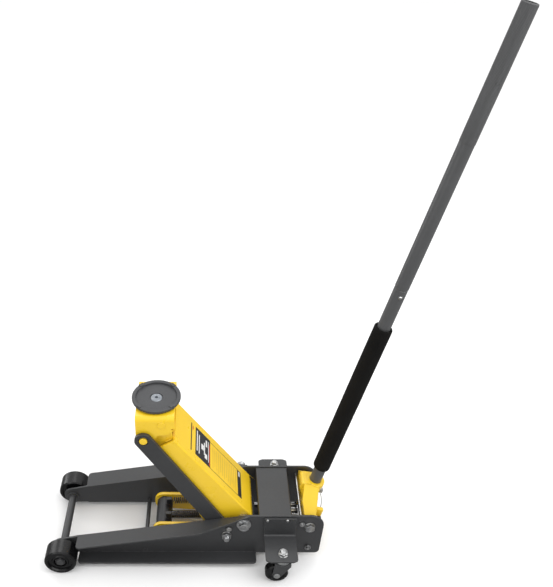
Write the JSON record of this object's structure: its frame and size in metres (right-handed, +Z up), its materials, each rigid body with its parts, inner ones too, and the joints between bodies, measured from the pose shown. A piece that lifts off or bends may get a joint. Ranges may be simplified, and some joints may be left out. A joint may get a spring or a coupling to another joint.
{
  "type": "hydraulic floor jack",
  "caption": "Low-profile wheeled service jack: raised lift arm with a swivelling round saddle, steel side rails on rollers and swivel casters, and a long pumping handle.",
  "frame": {"origin": "on the floor in the jack's middle plane, below the lift arm's main pivot", "axes": "+X to the saddle end, +Y to the jack's left, +Z up"},
  "size_m": [0.9797, 0.344, 1.3598],
  "materials": {
    "frame_paint": "dark grey metallic gloss paint",
    "saddle_paint": "dark grey satin paint, worn",
    "arm_paint": "yellow gloss paint",
    "roller_paint": "black gloss paint",
    "zinc": "bright zinc plate",
    "polished": "ground and polished",
    "spring_steel": "oiled spring steel",
    "casting": "black satin paint on castings",
    "handle_paint": "dark grey metallic paint",
    "foam": "black closed-cell foam"
  },
  "bodies": {
    "chassis": {"rail_left": "frame_paint", "rail_right": "frame_paint", "crossmember": "frame_paint", "crossmember_screws": "zinc", "front_axle": "frame_paint", "axle_nuts": "zinc", "front_tie_rod": "frame_paint", "rear_tie_rod": "zinc", "lower_tie_rod": "frame_paint", "tie_rod_nuts": "zinc", "rail_stop_bolts": "zinc", "caster_bracket_left": "frame_paint", "caster_bracket_right": "frame_paint", "king_pins": "zinc", "king_pin_nuts": "zinc", "arm_pivot_bolt": "zinc", "yoke_shaft": "zinc", "pivot_spacers": "zinc", "pivot_nuts": "zinc", "link_studs": "zinc", "link_nuts": "zinc", "hydraulic_cylinder": "casting", "spring_anchor": "casting", "pump_block": "casting", "return_spring_left": "spring_steel", "return_spring_right": "spring_steel"},
    "roller_left": {"front_roller_left": "roller_paint"},
    "caster_left": {"caster_fork_left": "frame_paint", "caster_race_left": "zinc", "caster_axle_left": "zinc"},
    "caster_roll_left": {"caster_wheel_left": "roller_paint"},
    "roller_right": {"front_roller_right": "roller_paint"},
    "caster_right": {"caster_fork_right": "frame_paint", "caster_race_right": "zinc", "caster_axle_right": "zinc"},
    "caster_roll_right": {"caster_wheel_right": "roller_paint"},
    "arm": {"lift_arm": "arm_paint", "arm_nose": "arm_paint", "saddle_shaft": "zinc", "lobe_pins": "zinc"},
    "bracket": {"saddle_bracket": "arm_paint", "link_pins": "arm_paint", "saddle_screw": "zinc"},
    "links": {"level_link_left": "frame_paint", "level_link_right": "frame_paint"},
    "saddle_plate": {"saddle": "saddle_paint"},
    "ram_head": {"crosshead": "casting", "crosshead_pin": "zinc", "pull_link_left": "arm_paint", "pull_link_right": "arm_paint", "ram": "polished"},
    "yoke": {"handle_yoke": "arm_paint", "yoke_roller": "zinc", "lock_bolt": "zinc"},
    "handle": {"handle_lower": "handle_paint", "handle_foam": "foam", "handle_upper": "handle_paint"},
    "button": {"handle_button": "zinc"},
    "plungers": {"pump_plungers": "polished"},
    "valve": {"release_valve": "zinc"}
  },
  "joints": [
    {"name": "front_roller_left_spin", "type": "hinge", "parent": "chassis", "child": "roller_left", "pos_m": [0.463, 0.1155, 0.04], "axis": [0, 1, 0], "continuous": true},
    {"name": "caster_left_swivel", "type": "hinge", "parent": "chassis", "child": "caster_left", "pos_m": [-0.096, 0.1508, 0.079], "axis": [0, 0, 1], "continuous": true},
    {"name": "caster_left_roll", "type": "hinge", "parent": "caster_left", "child": "caster_roll_left", "pos_m": [-0.082, 0.1508, 0.029], "axis": [0, 1, 0], "continuous": true},
    {"name": "front_roller_right_spin", "type": "hinge", "parent": "chassis", "child": "roller_right", "pos_m": [0.463, -0.1155, 0.04], "axis": [0, 1, 0], "continuous": true},
    {"name": "caster_right_swivel", "type": "hinge", "parent": "chassis", "child": "caster_right", "pos_m": [-0.096, -0.1508, 0.079], "axis": [0, 0, 1], "continuous": true},
    {"name": "caster_right_roll", "type": "hinge", "parent": "caster_right", "child": "caster_roll_right", "pos_m": [-0.082, -0.1508, 0.029], "axis": [0, 1, 0], "continuous": true},
    {"name": "arm_lift", "type": "hinge", "parent": "chassis", "child": "arm", "pos_m": [0, 0, 0.126], "axis": [0, -1, 0], "range_deg": [-66, 6]},
    {"name": "bracket_level", "type": "hinge", "parent": "arm", "child": "bracket", "pos_m": [0.19792, 0, 0.44275], "axis": [0, -1, 0], "range_deg": [-6, 66]},
    {"name": "link_level", "type": "hinge", "parent": "chassis", "child": "links", "pos_m": [0.043, 0, 0.085], "axis": [0, -1, 0], "range_deg": [-66, 6]},
    {"name": "saddle_turn", "type": "hinge", "parent": "bracket", "child": "saddle_plate", "pos_m": [0.21252, 0, 0.46675], "axis": [0, 0, 1], "continuous": true},
    {"name": "crosshead_slide", "type": "slide", "parent": "chassis", "child": "ram_head", "axis": [1, 0, 0], "range_m": [-0.093, 0.0085], "deforming": ["return_spring_left", "return_spring_right"]},
    {"name": "handle_pump", "type": "hinge", "parent": "chassis", "child": "yoke", "pos_m": [-0.167, 0, 0.117], "axis": [0, -1, 0], "range_deg": [0, 50]},
    {"name": "plunger_slide", "type": "slide", "parent": "chassis", "child": "plungers", "axis": [1, 0, 0], "range_m": [0, 0.027]},
    {"name": "handle_twist", "type": "hinge", "parent": "yoke", "child": "handle", "pos_m": [-0.167, 0, 0.117], "axis": [-0.2312, 0, 0.9729], "range_deg": [0, 180]},
    {"name": "release_turn", "type": "hinge", "parent": "chassis", "child": "valve", "pos_m": [-0.15, 0, 0.048], "axis": [1, 0, 0], "range_deg": [0, 180]},
    {"name": "button_press", "type": "slide", "parent": "handle", "child": "button", "axis": [0, 1, 0], "range_m": [-0.005, 0], "stiffness_N_per_m": 600, "springref_m": 0.002}
  ],
  "couplings": [
    {"joint": "bracket_level", "follows": "arm_lift", "ratio": -1},
    {"joint": "link_level", "follows": "arm_lift", "ratio": 1},
    {"joint": "crosshead_slide", "follows": "arm_lift", "m_per_rad": 0.08066},
    {"joint": "plunger_slide", "follows": "handle_pump", "m_per_rad": 0.0304},
    {"joint": "release_turn", "follows": "handle_twist", "ratio": 1}
  ]
}
